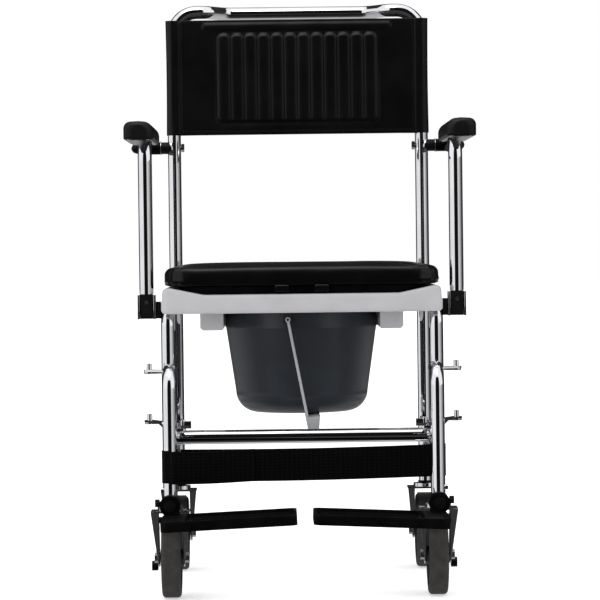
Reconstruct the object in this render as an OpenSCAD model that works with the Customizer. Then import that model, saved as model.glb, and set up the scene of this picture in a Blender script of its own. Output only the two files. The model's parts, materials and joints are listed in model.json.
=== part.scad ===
// Commode chair on four castors: chromed tube frame, sling backrest, flip-up arms,
// swing-away footrests and a slide-out pan. The user faces -Y, so left_ is +X.

/* [Frame] */
// Outside diameter of the frame tube
tube_d = 22; // [20:0.5:24]
// Wall thickness of the frame tube
tube_wall = 1.5; // [1:0.1:2]
// Distance of each side frame from the centre line
side_x = 208.5; // [205:0.5:211]
// Front leg to rear post
wheelbase = 400; // [390:1:410]
// Height of the push bar's centre line
bar_z = 944; // [935:1:960]
// Height of the seat rails' centre line
rail_z = 462; // [460:0.5:463]
// Height of the front crossbar's centre line
front_bar_z = 253; // [248:1:254]
// Height of the lower side rails and the rear crossbar
rear_bar_z = 228; // [222:1:230]
// How far the push bar is set back behind the posts
bar_setback = 45; // [40:1:50]

/* [Castors] */
// Wheel diameter
wheel_d = 125; // [120:1:125]
// Wheel width over the tyre
wheel_w = 30; // [26:1:31]
// Distance from the swivel axis back to the axle
trail = 35; // [30:1:38]

/* [Seat] */
// Half the width of the seat's front lip
seat_half_w = 221; // [216:0.5:222]
// Height of the seat's side rims
seat_rim_z = 486; // [484:0.5:486.5]
// Height of the bottom edge of the seat's front lip
seat_lip_z = 445; // [440:1:448]
// Half the width of the cushion
cushion_half_w = 217; // [205:1:219]
// Thickness of the cushion
cushion_h = 37; // [30:1:45]

/* [Pan] */
// Outside radius of the pan's collar
pan_r = 122.5; // [118:0.5:123]
// Height of the pan's floor above the ground
pan_floor_z = 282; // [282:1:300]
// Wall thickness of the pan
pan_wall = 2.5; // [2:0.1:3]

/* [Arms] */
// Distance of each arm's front post from the centre line
arm_x = 241.5; // [241:0.5:246]
// Distance of each arm's rear end from the centre line
arm_rear_x = 254; // [252:0.5:258]
// Height of the arm tube's centre line, and of its pivot
arm_z = 716; // [700:1:720]
// Width of an arm pad
pad_w = 47; // [44:1:50]
// Length of an arm pad
pad_l = 250; // [220:1:270]

/* [Backrest] */
// Height of the cover's bottom edge
cover_low_z = 737; // [732:1:760]
// Height of the cover's top edge
cover_top_z = 930; // [900:1:931]

/* [Footrests] */
// How far the footplates reach in front of the front legs
foot_reach = 215; // [200:1:215]
// Distance of each hanger tube from the centre line
hanger_x = 205.5; // [204:0.5:208]
// How far the hanger tubes stand in front of the front legs
hanger_reach = 66; // [64:0.5:68]
// Height of the hanger's upper bend
hanger_top_z = 358.5; // [355:0.5:362]
// Height of the footplate hinge
foot_hinge_z = 155; // [154:0.5:157]
// Upward tilt of each footplate towards the middle
foot_tilt = 2.5; // [1:0.1:2.5]

/* [Hidden] */
$fn = 72;

// Small distances: clearance between moving pieces, running fit on a pin, overrun of a cut
gap = 0.3;
fit = 0.05;
over = 1;

// Frame, worked out from the driving sizes
tube_r = tube_d / 2;
bore_r = tube_r - tube_wall;
wheel_r = wheel_d / 2;
leg_y = (foot_reach - wheelbase - trail - wheel_r) / 2;
post_y = leg_y + wheelbase;
corner_r = 40;
tube_low_z = 150;
small_r = 9.5;
seat_bar_z = 460;
seat_bar_front_y = leg_y + 42;
seat_bar_rear_y = post_y - 30;

// Castors
crown_top_z = 145.7;
crown_z = 137;
stem_r = 5.5;
fork_in = 18.5;
fork_plate = 2.5;
fork_flare = 30;
axle_r = 5;
hub_r = 48;
brake_pivot = [trail, 108];

// Seat and pan
seat_front_y = leg_y - 22;
seat_rear_y = post_y - 14;
seat_dip_z = 475;
seat_under_z = 470;
cushion_z = 487;
pan_y = leg_y + 188.25;
pan_rim_z = 445.3;
rim_r = 140;
bail_x = -22;
bail_z = 433;
bail_lean = 10.7;

// Arms
arm_y = leg_y + 6;
arm_bend_r = 35;
arm_splay = atan((arm_rear_x - arm_x) / (post_y - arm_y));
arm_run = (post_y - arm_y) / cos(arm_splay);
bracket_w = 28;
bracket_low_z = 438;
bracket_h = 38;
pivot_r = 4;
button_z = 464;

// Footrests
hanger_y = leg_y - hanger_reach;
pin_x = 238;
pin_y = leg_y - 15;
pin_r = 4;
upper_plate_z = 357;
lower_plate_z = 279;
plate_h = 3;
hanger_bend_r = 30;
hanger_low_z = 165;
stem_tube_r = 9;
knob_z = foot_hinge_z + 2;
foot_back_y = hanger_y - 18.4;
foot_front_y = leg_y - foot_reach;
strap_low_z = 189;
strap_h = 50;
strap_t = 2;

// ---- Tubes ----------------------------------------------------------------

// A straight tube that rises from the origin
module tube(length, r = tube_r, bore = bore_r)
    difference() {
        cylinder(r = r, h = length);
        translate([0, 0, -over]) cylinder(r = bore, h = length + 2 * over);
    }

// A tube bend that starts at the origin going up, and turns towards +X. One under 90 degrees
// is swept a little too far and cut square at its end, so that it meets the next tube exactly.
module tube_bend(radius, angle, r = tube_r, bore = bore_r)
    difference() {
        translate([radius, 0, 0]) rotate([90, 0, 180])
            rotate_extrude(angle = min(angle + 5, 90)) translate([radius, 0]) difference() {
                circle(r = r);
                circle(r = bore);
            }
        if (angle < 90) after_bend(radius, angle) translate([-tube_d, -tube_d, 0]) cube(2 * tube_d);
    }

// Moves its children to the end of such a bend
module after_bend(radius, angle)
    translate([radius * (1 - cos(angle)), 0, radius * sin(angle)]) rotate([0, angle, 0]) children();

// A bent tube as a chain of steps: [straight length, bend radius, bend angle, bend direction]
module bent_tube(steps, i = 0) {
    if (i < len(steps)) {
        tube(steps[i][0]);
        translate([0, 0, steps[i][0]]) rotate([0, 0, steps[i][3]]) {
            if (steps[i][2] > 0) tube_bend(steps[i][1], steps[i][2]);
            after_bend(steps[i][1], steps[i][2]) bent_tube(steps, i + 1);
        }
    }
}

// A cylinder along X between two distances from the centre line
module rod_x(from, to, r)
    translate([from, 0, 0]) rotate([0, 90, 0]) cylinder(r = r, h = to - from);

// A cylinder along Y
module rod_y(from, to, r)
    translate([0, from, 0]) rotate([-90, 0, 0]) cylinder(r = r, h = to - from);

// The same piece on both sides of the chair
module both_sides() {
    children();
    mirror([1, 0, 0]) children();
}

// side is 1 for the user's left (+X) and -1 for the right
module on_side(side)
    if (side > 0) children(); else mirror([1, 0, 0]) children();

module round_rect(w, l, r)
    offset(r = r) square([w - 2 * r, l - 2 * r], center = true);

// ---- Frame ----------------------------------------------------------------

module back_frame() {
    kink_r = 25;
    kink_a = acos(0.6);
    lead = 2;
    post_h = bar_z - corner_r - tube_low_z;
    slope_l = (bar_setback - 2 * kink_r * (1 - cos(kink_a))) / sin(kink_a);
    kink_x = 2 * kink_r * sin(kink_a) + slope_l * cos(kink_a);
    half_bar = side_x - corner_r - lead - kink_x;
    color("gainsboro") difference() {
        both_sides() translate([0, post_y + bar_setback, bar_z]) rotate([0, 90, 0]) bent_tube([
            [half_bar, kink_r, kink_a, -90],
            [slope_l, kink_r, kink_a, 180],
            [lead, corner_r, 90, -90],
            [post_h, corner_r, 0, 0]
        ]);
        both_sides() translate([0, post_y, arm_z])
            rod_x(side_x - tube_d, side_x + tube_d, pivot_r);
    }
}

module side_tube() {
    leg_h = rail_z - corner_r - tube_low_z;
    difference() {
        translate([side_x, leg_y, tube_low_z]) rotate([0, 0, 90])
            bent_tube([[leg_h, corner_r, 90, 0], [wheelbase - corner_r, corner_r, 0, 0]]);
        translate([side_x, post_y, 0]) cylinder(r = tube_r, h = bar_z);
    }
}

module side_tubes()
    color("gainsboro") both_sides() side_tube();

module lower_side_rails()
    color("gainsboro") both_sides() difference() {
        translate([side_x, leg_y, rear_bar_z]) rotate([-90, 0, 0])
            tube(wheelbase, small_r, small_r - tube_wall);
        translate([side_x, leg_y, 0]) cylinder(r = tube_r, h = rail_z);
        translate([side_x, post_y, 0]) cylinder(r = tube_r, h = rail_z);
        translate([0, post_y, rear_bar_z]) rod_x(-side_x, side_x, tube_r);
    }

// A tube across the chair between two upright tubes
module low_crossbar(y, z)
    difference() {
        translate([-side_x, y, z]) rotate([0, 90, 0]) tube(2 * side_x, tube_r - gap / 2, bore_r);
        both_sides() translate([side_x, y, 0]) cylinder(r = tube_r, h = rail_z);
    }

// A thinner tube across the chair between the two seat rails
module seat_crossbar(y)
    difference() {
        translate([-side_x, y, seat_bar_z]) rotate([0, 90, 0])
            tube(2 * side_x, small_r, small_r - tube_wall);
        both_sides() translate([side_x, leg_y, rail_z]) rod_y(0, wheelbase, tube_r);
    }

module crossbars()
    color("gainsboro") {
        low_crossbar(leg_y, front_bar_z);
        low_crossbar(post_y, rear_bar_z);
        seat_crossbar(seat_bar_front_y);
        seat_crossbar(seat_bar_rear_y);
    }

// Flanged plastic bush in each tube end, which the castor's stem turns in
module castor_stem_bushes()
    color("dimgray") both_sides() for (y = [leg_y, post_y]) translate([side_x, y, 0]) difference() {
        union() {
            translate([0, 0, tube_low_z - 4]) cylinder(r = tube_r + 1, h = 4);
            translate([0, 0, tube_low_z - over]) cylinder(r = bore_r, h = 40);
        }
        cylinder(r = stem_r + fit, h = rail_z);
    }

// ---- Backrest and seat ----------------------------------------------------

module backrest_cover() {
    sleeve_r = tube_r + 2;
    web_x = side_x - 4 * tube_r;
    panel_front = -11;
    panel_rear = 3;
    half_sleeve = sleeve_r - 1;
    color("black") translate([0, post_y, 0]) difference() {
        translate([0, 0, cover_low_z]) linear_extrude(cover_top_z - cover_low_z) {
            for (s = [-1, 1]) translate([s * side_x, 0]) circle(r = sleeve_r);
            polygon([
                [-side_x, -half_sleeve], [-web_x, panel_front], [web_x, panel_front], [side_x, -half_sleeve],
                [side_x, half_sleeve], [web_x, panel_rear], [-web_x, panel_rear], [-side_x, half_sleeve]
            ]);
        }
        // Room for the post and for its bend into the push bar
        both_sides() {
            translate([side_x, 0, tube_low_z]) cylinder(r = tube_r, h = bar_z);
            translate([side_x - corner_r, 0, bar_z - corner_r]) rotate([90, 0, 0])
                rotate_extrude(angle = 90) translate([corner_r, 0]) circle(r = tube_r);
        }
    }
}

// The seat across the chair: raised side rims and a shallow dip
module seat_profile() {
    rim_x = 205;
    dip_x = 152;
    edge_r = 7;
    offset(r = edge_r) offset(delta = -edge_r) polygon([
        [-seat_half_w, seat_lip_z], [-seat_half_w + 5, seat_rim_z], [-rim_x, seat_rim_z],
        [-dip_x, seat_dip_z], [dip_x, seat_dip_z], [rim_x, seat_rim_z],
        [seat_half_w - 5, seat_rim_z], [seat_half_w, seat_lip_z]
    ]);
}

module commode_seat() {
    lip_t = 8;
    rib_t = 4;
    room_x = side_x - tube_r - over;
    inside_x = room_x - rib_t;
    seat_l = seat_rear_y - seat_front_y;
    mid_y = (seat_rear_y + seat_front_y) / 2;
    aperture_r = 90;
    color("lightgray") difference() {
        union() {
            intersection() {
                translate([0, seat_rear_y, 0]) rotate([90, 0, 0]) linear_extrude(seat_l) seat_profile();
                translate([0, mid_y, 0]) linear_extrude(2 * rail_z) round_rect(2 * seat_half_w, seat_l, 14);
            }
            translate([-147, seat_rear_y - 16, seat_dip_z - over]) cube([294, 12, 10]);
        }
        // Room for the seat rails behind the front lip
        both_sides() translate([room_x, seat_front_y + lip_t, 0])
            cube([tube_d * 2, seat_l, rail_z + tube_r + gap / 2]);
        // Hollow underside
        translate([-inside_x, seat_front_y + lip_t, 0])
            cube([2 * inside_x, seat_l - 2 * lip_t, seat_under_z]);
        // Room for the pan below the rear edge
        translate([-seat_half_w, pan_y, 0]) cube([2 * seat_half_w, wheelbase, pan_rim_z + 7]);
        // Notches for the seat crossbars
        for (y = [seat_bar_front_y, seat_bar_rear_y])
            translate([-side_x, y - small_r - gap, 0])
                cube([2 * side_x, 2 * (small_r + gap), seat_under_z]);
        // Aperture over the pan
        translate([0, pan_y, seat_lip_z]) linear_extrude(tube_d * 2) {
            translate([0, -20]) circle(r = aperture_r);
            translate([0, 25]) circle(r = aperture_r);
            translate([-aperture_r, -20]) square([2 * aperture_r, 45]);
        }
    }
}

module pan_rails() {
    inner_x = pan_r + 1;
    web_x = 150;
    outer_x = 160;
    low_z = 417.5;
    front_y = seat_bar_front_y + small_r + 4;
    rail_l = 298;
    stop_t = 4;
    color("gainsboro") both_sides() {
        translate([0, front_y + rail_l, 0]) rotate([90, 0, 0]) linear_extrude(rail_l) polygon([
            [inner_x, low_z + 2], [inner_x + 2, low_z], [outer_x - 4, low_z], [outer_x, low_z + 4],
            [outer_x, seat_under_z], [web_x, seat_under_z], [web_x, seat_lip_z], [inner_x, seat_lip_z]
        ]);
        translate([inner_x, front_y, seat_lip_z]) cube([web_x - inner_x, stop_t, 10]);
    }
}

// The cushion's outline seen from above, with rounded corners
module cushion_outline(half_w, inset, r) {
    front = seat_front_y + inset;
    rear = post_y - tube_r - 8 - inset;
    translate([0, (front + rear) / 2]) round_rect(2 * half_w, rear - front, r);
}

module cushion() {
    edge_r = 14;
    color("black") intersection() {
        translate([0, 0, cushion_z]) linear_extrude(cushion_h) cushion_outline(cushion_half_w, 2, 45);
        translate([0, post_y, cushion_z + cushion_h / 2]) rotate([90, 0, 0])
            linear_extrude(2 * wheelbase) round_rect(2 * cushion_half_w, cushion_h, edge_r);
    }
}

// Board under the cushion, with its sides sloped like the dip of the seat
module cushion_base() {
    base_z = 476.5;
    low_half_w = 150;
    top_half_w = 193;
    color("black") intersection() {
        translate([0, 0, base_z]) linear_extrude(cushion_z - base_z) cushion_outline(top_half_w, 14, 30);
        translate([0, post_y, 0]) rotate([90, 0, 0]) linear_extrude(2 * wheelbase) polygon([
            [-low_half_w, base_z], [low_half_w, base_z], [top_half_w, cushion_z], [-top_half_w, cushion_z]
        ]);
    }
}

// ---- Pan ------------------------------------------------------------------

// Half section of the pan's outside, grown inwards by t to make its inside
module pan_section(t, floor_z) {
    low_r = 106.5;
    corner = 34;
    polygon(concat(
        [[0, floor_z]],
        [for (a = [-90:10:0]) [low_r - corner + (corner - t) * cos(a), pan_floor_z + corner + (corner - t) * sin(a)]],
        [[pan_r - 1 - t, 419], [pan_r - 1 - t, pan_rim_z + 4], [0, pan_rim_z + 4]]
    ));
}

module pan() {
    tab_w = 14;
    color("slategray") {
        difference() {
            union() {
                translate([0, pan_y, 0]) rotate_extrude() pan_section(0, pan_floor_z);
                translate([0, pan_y, 419]) cylinder(r = pan_r, h = pan_rim_z - 419);
                translate([0, pan_y, pan_rim_z]) cylinder(r = rim_r, h = 3.7);
                // Tabs that the carrying handle hangs from
                for (s = [-1, 1]) translate([bail_x - tab_w / 2, pan_y + s * (pan_r + 1) - 4, bail_z - 7])
                    cube([tab_w, 8, pan_rim_z - bail_z + 7]);
            }
            translate([0, pan_y, 0]) rotate_extrude() intersection() {
                pan_section(pan_wall, pan_floor_z + pan_wall);
                translate([0, pan_floor_z]) square([rim_r, wheelbase]);
            }
            translate([0, pan_y, pan_rim_z + 3]) cylinder(r = pan_r - 1 - pan_wall, h = 2 * over);
        }
        // Pivot studs of the carrying handle
        translate([bail_x, pan_y, bail_z]) {
            rod_y(pan_r + 4, pan_r + 13, 2);
            rod_y(-pan_r - 13, -pan_r - 4, 2);
        }
    }
}

module pan_bail() {
    reach = 184;
    grip_h = 25;
    leg_r = 2.2;
    eye_y = pan_r + 9;
    color("whitesmoke") translate([bail_x, pan_y, bail_z]) rotate([0, -bail_lean, 0]) difference() {
        union() {
            for (s = [-1, 1]) {
                translate([0, s * eye_y, 0]) rod_y(-3, 3, 4);
                translate([0, s * eye_y, -reach + grip_h / 2]) cylinder(r = leg_r, h = reach - grip_h / 2);
            }
            translate([0, eye_y + leg_r + over, -reach]) rotate([90, 0, 0])
                linear_extrude(2 * (eye_y + leg_r + over))
                polygon([[-3, 0], [13, 0], [20, grip_h], [-3, grip_h + 3]]);
        }
        rod_y(-rim_r, rim_r, 2 + fit);
        // The grip is a channel, open below
        translate([-1, -eye_y + 3, -reach - over]) cube([12, 2 * eye_y - 6, grip_h - 3]);
    }
}

// ---- Arms -----------------------------------------------------------------

// Moves its children to the arm's own frame: post at the origin, tube towards +Y
module arm_frame(side)
    on_side(side) translate([arm_x, arm_y, 0]) rotate([0, 0, -arm_splay]) children();

module arm_tube(side) {
    post_low_z = bracket_low_z + bracket_h + 1;
    post_h = arm_z - arm_bend_r - post_low_z;
    tail = 13;
    color("gainsboro") difference() {
        arm_frame(side) translate([0, 0, post_low_z]) rotate([0, 0, 90])
            bent_tube([[post_h, arm_bend_r, 90, 0], [arm_run - arm_bend_r + tail, arm_bend_r, 0, 0]]);
        on_side(side) translate([0, post_y, arm_z])
            rod_x(arm_rear_x - tube_d, arm_rear_x + tube_d, pivot_r + fit);
    }
}

module arm_pad(side) {
    pad_h = 27;
    pad_low_z = arm_z + 2;
    pad_x = 250;
    pad_front_y = leg_y - 25;
    color("black") difference() {
        on_side(side) translate([pad_x, pad_front_y, pad_low_z]) intersection() {
            translate([0, pad_l, 0]) rotate([90, 0, 0]) linear_extrude(pad_l)
                intersection() {
                    translate([0, pad_h / 2 - 8]) round_rect(pad_w, pad_h + 16, 14);
                    translate([-pad_w, 0]) square([2 * pad_w, pad_h]);
                }
            translate([0, pad_l / 2, 0]) linear_extrude(pad_h) round_rect(pad_w, pad_l, 16);
        }
        // Groove that sits on the tube
        arm_frame(side) {
            translate([0, arm_bend_r, arm_z]) rod_y(0, arm_run, tube_r + fit);
            translate([0, -tube_r - fit, 0]) translate([-tube_r - fit, 0, 0])
                cube([2 * (tube_r + fit), arm_bend_r + tube_r + fit, arm_z + tube_r + fit]);
        }
    }
}

// Plastic hub between the frame and the rear end of the arm tube
module arm_hub(side)
    color("black") on_side(side) difference() {
        translate([0, post_y, arm_z]) rod_x(232.3, arm_rear_x, 10.5);
        translate([0, post_y, arm_z]) rod_x(side_x, arm_rear_x + over, pivot_r + fit);
        translate([arm_x, arm_y, arm_z]) rotate([0, 0, -arm_splay])
            rod_y(arm_bend_r, arm_run + tube_d, tube_r);
    }

module arm_foot(side) {
    foot_w = 18.5;
    foot_d = 20;
    foot_low_z = bracket_low_z + 1;
    foot_h = bracket_h;
    color("black") difference() {
        on_side(side) translate([arm_x, arm_y, foot_low_z]) {
            translate([-foot_w / 2, -foot_d / 2, 0]) cube([foot_w, foot_d, foot_h]);
            translate([0, 0, foot_h - over]) cylinder(r = bore_r, h = 25);
        }
        on_side(side) translate([arm_x, arm_y, button_z]) rod_y(-foot_d, 0, 3.25 + fit);
    }
}

module arm_button(side)
    color("silver") on_side(side) translate([arm_x, arm_y, button_z]) rod_y(-11.5, -3.5, 3.25);

// Front-open channel on each side, which the arm's foot drops into
module arm_brackets() {
    wall = 3.2;
    inner_w = bracket_w - 2 * wall;
    color("gainsboro") both_sides() translate([arm_x - bracket_w / 2, arm_y - 12, bracket_low_z])
        difference() {
            cube([bracket_w, 26, bracket_h]);
            translate([wall, -over, -over]) cube([inner_w, 26 - wall + over, bracket_h + 2 * over]);
        }
}

// Black blocks behind the brackets, and black spacers at the arm pivots
module arm_spacers() {
    color("black") both_sides() {
        translate([side_x + tube_r, arm_y - 8, bracket_low_z + 1])
            cube([arm_x - bracket_w / 2 - side_x - tube_r, 18, 26]);
        difference() {
            translate([0, post_y, arm_z]) rod_x(side_x, 231, 10);
            translate([0, post_y, arm_z]) rod_x(side_x - over, 232, pivot_r);
            translate([side_x, post_y, arm_z - tube_d]) cylinder(r = tube_r, h = 2 * tube_d);
        }
    }
}

module arm_pivot_bolts() {
    nut_x = arm_rear_x + tube_r + 0.6;
    color("silver") both_sides() translate([0, post_y, arm_z]) {
        rod_x(side_x - tube_r - 4, nut_x + 4, pivot_r);
        translate([side_x - tube_r - 5.5, 0, 0]) rotate([0, 90, 0]) cylinder(r = 7, h = 5, $fn = 6);
        rod_x(231, 232, 11.5);
        rod_x(nut_x, nut_x + 8, 7.5);
        translate([nut_x + 8, 0, 0]) sphere(r = 7.5);
    }
}

// ---- Footrest hangers -----------------------------------------------------

// Lug plates and pins on the front legs, with the catch for each latch
module hanger_lugs() {
    color("silver") both_sides() {
        for (z = [lower_plate_z, upper_plate_z]) translate([0, 0, z - gap - plate_h]) {
            difference() {
                linear_extrude(plate_h) hull() {
                    translate([pin_x, pin_y]) circle(r = 8, $fn = 32);
                    translate([side_x, leg_y]) circle(r = 8, $fn = 32);
                }
                translate([side_x, leg_y, -over]) cylinder(r = tube_r, h = plate_h + 2 * over);
            }
            translate([pin_x, pin_y, 0]) cylinder(r = pin_r, h = 2 * plate_h + gap + 9.5);
        }
        // Catch plate for the latch
        difference() {
            translate([side_x - tube_r - 11, leg_y - 3, 266]) cube([14, 6, 10]);
            translate([side_x, leg_y, 0]) cylinder(r = tube_r, h = rail_z);
        }
    }
}

// Flat plate from the hanger tube to its hinge pin
module hanger_plate(z, to)
    difference() {
        translate([0, 0, z]) linear_extrude(plate_h) hull() {
            translate([pin_x, pin_y]) circle(r = 8.5, $fn = 32);
            translate(to) circle(r = 7, $fn = 32);
        }
        translate([pin_x, pin_y, z - over]) cylinder(r = pin_r + fit, h = plate_h + 2 * over);
    }

module hanger_tube(side) {
    stub_l = hanger_reach - hanger_bend_r - 16;
    drop = hanger_top_z - hanger_bend_r - hanger_low_z;
    pivot = [hanger_x - 20, hanger_y + 2];
    color("gainsboro") on_side(side) {
        translate([hanger_x, hanger_y, hanger_low_z]) rotate([0, 0, 90])
            bent_tube([[drop, hanger_bend_r, 90, 0], [stub_l, hanger_bend_r, 0, 0]]);
        difference() {
            hanger_plate(upper_plate_z, [hanger_x + 10, leg_y - 27]);
            translate([hanger_x, hanger_y, hanger_top_z]) rod_y(0, hanger_reach, tube_r);
        }
        difference() {
            union() {
                hanger_plate(lower_plate_z, [hanger_x + 6, hanger_y]);
                // Gusset under the lower plate
                translate([hanger_x, hanger_y + 1.5, lower_plate_z]) rotate([90, 0, 0])
                    linear_extrude(3) polygon([[0, 0], [17, 0], [0, -17]]);
                // Arm and pivot stud of the latch
                translate([0, 0, 268]) linear_extrude(plate_h) hull() {
                    translate(pivot) circle(r = 5, $fn = 32);
                    translate([hanger_x, hanger_y]) circle(r = 5, $fn = 32);
                }
                translate([pivot[0], pivot[1], 268]) cylinder(r = 2.5, h = 17);
            }
            translate([hanger_x, hanger_y, 0]) cylinder(r = tube_r, h = hanger_top_z);
        }
        // Boss of the height adjuster on the outer side
        difference() {
            translate([hanger_x, hanger_y, hanger_low_z + 12]) rod_x(0, tube_r + 4, 4);
            translate([hanger_x, hanger_y, 0]) cylinder(r = tube_r, h = hanger_top_z);
        }
    }
}

// Spring latch on the inner side of the hanger, with a finger tab
module hanger_latch(side) {
    pivot = [hanger_x - 20, hanger_y + 2];
    low_z = 271 + gap;
    color("silver") on_side(side) difference() {
        union() {
            translate([pivot[0], pivot[1], low_z]) cylinder(r = 5, h = 12);
            translate([0, 0, low_z]) linear_extrude(4) hull() {
                translate(pivot) circle(r = 4.5, $fn = 32);
                translate([side_x - tube_r - 8, leg_y - 9]) circle(r = 4, $fn = 32);
            }
            translate([pivot[0] - 13, pivot[1] - 5, low_z]) cube([11, 10, 11]);
        }
        translate([pivot[0], pivot[1], 0]) cylinder(r = 2.5 + fit, h = hanger_top_z);
    }
}

// Inner tube that slides in the hanger tube, with its row of height holes
module footrest_stem(side) {
    stem_low_z = 148;
    color("silver") on_side(side) difference() {
        translate([hanger_x, hanger_y, stem_low_z]) tube(150, stem_tube_r, stem_tube_r - 1.5);
        for (i = [0:3]) translate([hanger_x, hanger_y, 190 + 25 * i])
            rod_x(0, tube_d, 3);
    }
}

// Black moulding on the foot of the stem, with the pin that the footplate turns on
module footrest_knuckle(side) {
    r = 16;
    color("black") on_side(side) difference() {
        union() {
            translate([hanger_x, hanger_y, foot_hinge_z]) rod_y(-18, 15, r);
            translate([hanger_x, hanger_y, foot_hinge_z]) rod_y(-36, -17, 5);
            translate([hanger_x, hanger_y, foot_hinge_z]) rod_y(-39, -36, 9);
        }
        translate([hanger_x, hanger_y, 148]) cylinder(r = stem_tube_r, h = tube_d * 2);
        translate([hanger_x, hanger_y, hanger_low_z - gap]) cylinder(r = tube_r + 1, h = tube_d);
        translate([hanger_x, hanger_y, knob_z]) rod_x(0, tube_d, 3 + fit);
    }
}

// Thumbscrew that clamps the knuckle on the stem
module footrest_knob(side)
    color("black") on_side(side) translate([hanger_x, hanger_y, knob_z]) {
        difference() {
            rod_x(17, 24, 6.25);
            for (i = [0:5]) rotate([60 * i, 0, 0]) translate([0, 0, 8]) rod_x(16, 25, 3);
        }
        rod_x(11, 17.5, 3);
    }

module footplate(side) {
    root_x = hanger_x + 12;
    tip_x = 13;
    low_z = foot_hinge_z - 29;
    plate_t = 15;
    mid_y = (foot_front_y + foot_back_y) / 2;
    plate_l = foot_back_y - foot_front_y;
    barrel_front = foot_back_y - hanger_y - 17;
    color("black") on_side(side) translate([hanger_x, 0, foot_hinge_z]) rotate([0, foot_tilt, 0])
        translate([-hanger_x, 0, -foot_hinge_z]) difference() {
            union() {
                // Plate with rounded corners, turned up round its edge
                translate([(root_x + tip_x) / 2, mid_y, low_z]) linear_extrude(plate_t)
                    round_rect(root_x - tip_x, plate_l, 12);
                // Hinge barrel and the web under it
                translate([hanger_x, hanger_y, foot_hinge_z]) rod_y(barrel_front, -18.4, 16);
                translate([hanger_x - 14, hanger_y + barrel_front, low_z + plate_t - over])
                    cube([24, -18.4 - barrel_front, 15]);
            }
            // Tray of the plate
            translate([(hanger_x - 26 + tip_x + 5) / 2, mid_y, low_z + 9]) linear_extrude(plate_t)
                round_rect(hanger_x - 26 - tip_x - 5, plate_l - 10, 8);
            translate([hanger_x, hanger_y, foot_hinge_z]) rod_y(-foot_reach, 0, 5 + fit);
            // Hollow underside between cross ribs
            for (i = [0:4]) translate([tip_x + 8 + 34 * i, foot_front_y + 5, low_z - over])
                cube([30, plate_l - 10, 6]);
        }
}

// Webbing behind the calves: it loops round the left leg and ends behind the loop's tail
module calf_strap() {
    from = [side_x, leg_y - tube_r - strap_t];
    to = [20 - hanger_x, hanger_y + 5];
    run = norm(to - from);
    turn = atan2(from[1] - to[1], from[0] - to[0]);
    color("black") translate([0, 0, strap_low_z]) {
        translate([from[0], from[1], 0]) rotate([0, 0, turn]) translate([-run, 0, 0])
            cube([run, strap_t, strap_h]);
        translate([side_x, leg_y, 0]) difference() {
            cylinder(r = tube_r + strap_t, h = strap_h);
            translate([0, 0, -over]) cylinder(r = tube_r, h = strap_h + 2 * over);
            // Notch round the lower side rail
            translate([0, 0, rear_bar_z - strap_low_z]) rod_y(0, tube_d, small_r + gap);
        }
    }
}

// The strap's end, which loops round the right hanger tube and closes on the band
module calf_strap_loop() {
    tail_start = 3;
    tail_l = 127;
    tail_turn = 11.5;
    color("black") translate([-hanger_x, hanger_y, strap_low_z - 1]) {
        rotate([0, 0, tail_turn]) translate([tail_start, -tube_r - strap_t, 0])
            cube([tail_l, strap_t, strap_h]);
        difference() {
            cylinder(r = tube_r + strap_t, h = strap_h);
            translate([0, 0, -over]) cylinder(r = tube_r, h = strap_h + 2 * over);
        }
    }
}

// ---- Castors --------------------------------------------------------------

// Moves its children to a castor's swivel axis, with +X outwards from the chair
module at_castor(side, y)
    on_side(side) translate([side_x, y, 0]) children();

module fork(side, y) {
    web_x = fork_in + fork_plate;
    edge_low = [trail - 14, wheel_r];
    edge_top = [-22, crown_z];
    edge = edge_top - edge_low;
    color("gainsboro") at_castor(side, y) difference() {
        union() {
            translate([0, 0, crown_z]) cylinder(r = stem_r, h = tube_low_z + 30 - crown_z);
            translate([0, 0, crown_z]) cylinder(r = 20, h = crown_top_z - crown_z);
            translate([-fork_flare, edge_top[0], crown_z]) cube([2 * fork_flare, 44, 3]);
            for (s = [-1, 1]) {
                translate([s > 0 ? fork_in : -web_x, 0, 0]) rotate([90, 0, 90]) linear_extrude(fork_plate)
                    hull() {
                        translate([trail, wheel_r]) circle(r = 14, $fn = 48);
                        translate([edge_top[0], crown_z]) square([44, 3]);
                    }
                // Front flange, wide at the crown and running out at the axle
                translate([0, edge_low[0], edge_low[1]])
                    rotate([atan2(-edge[0], edge[1]), 0, 0]) rotate([90, 0, 0])
                        translate([0, 0, -fork_plate]) linear_extrude(fork_plate) polygon([
                            [s * (fork_in + over), 0], [s * (web_x + over), 0],
                            [s * fork_flare, norm(edge)], [s * (fork_in + over), norm(edge)]
                        ]);
            }
        }
        translate([0, trail, wheel_r]) rod_x(-wheel_w, wheel_w, axle_r);
        // Bore for the brake's pivot stud
        translate([0, brake_pivot[0], brake_pivot[1]]) rod_x(fork_in - over, fork_flare, 3 + fit);
    }
}

module axle(side, y)
    color("silver") at_castor(side, y) translate([0, trail, wheel_r]) {
        rod_x(-26, 26, axle_r);
        rod_x(fork_in + fork_plate, fork_in + fork_plate + 1, 8.5);
        translate([fork_in + fork_plate + 1, 0, 0]) rotate([0, 90, 0]) cylinder(r = 8, h = 5, $fn = 6);
        translate([-fork_in - fork_plate - 6, 0, 0]) rotate([0, 90, 0]) cylinder(r = 8, h = 6, $fn = 6);
    }

module hub(side, y)
    color("dimgray") at_castor(side, y) translate([0, trail, wheel_r]) rotate([0, 90, 0])
        rotate_extrude() {
            translate([axle_r + fit, -17.5]) square([9, 35]);
            translate([axle_r + 1, -4]) square([hub_r - axle_r - 2, 8]);
            translate([hub_r - 5, -13]) square([5, 26]);
        }

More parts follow.
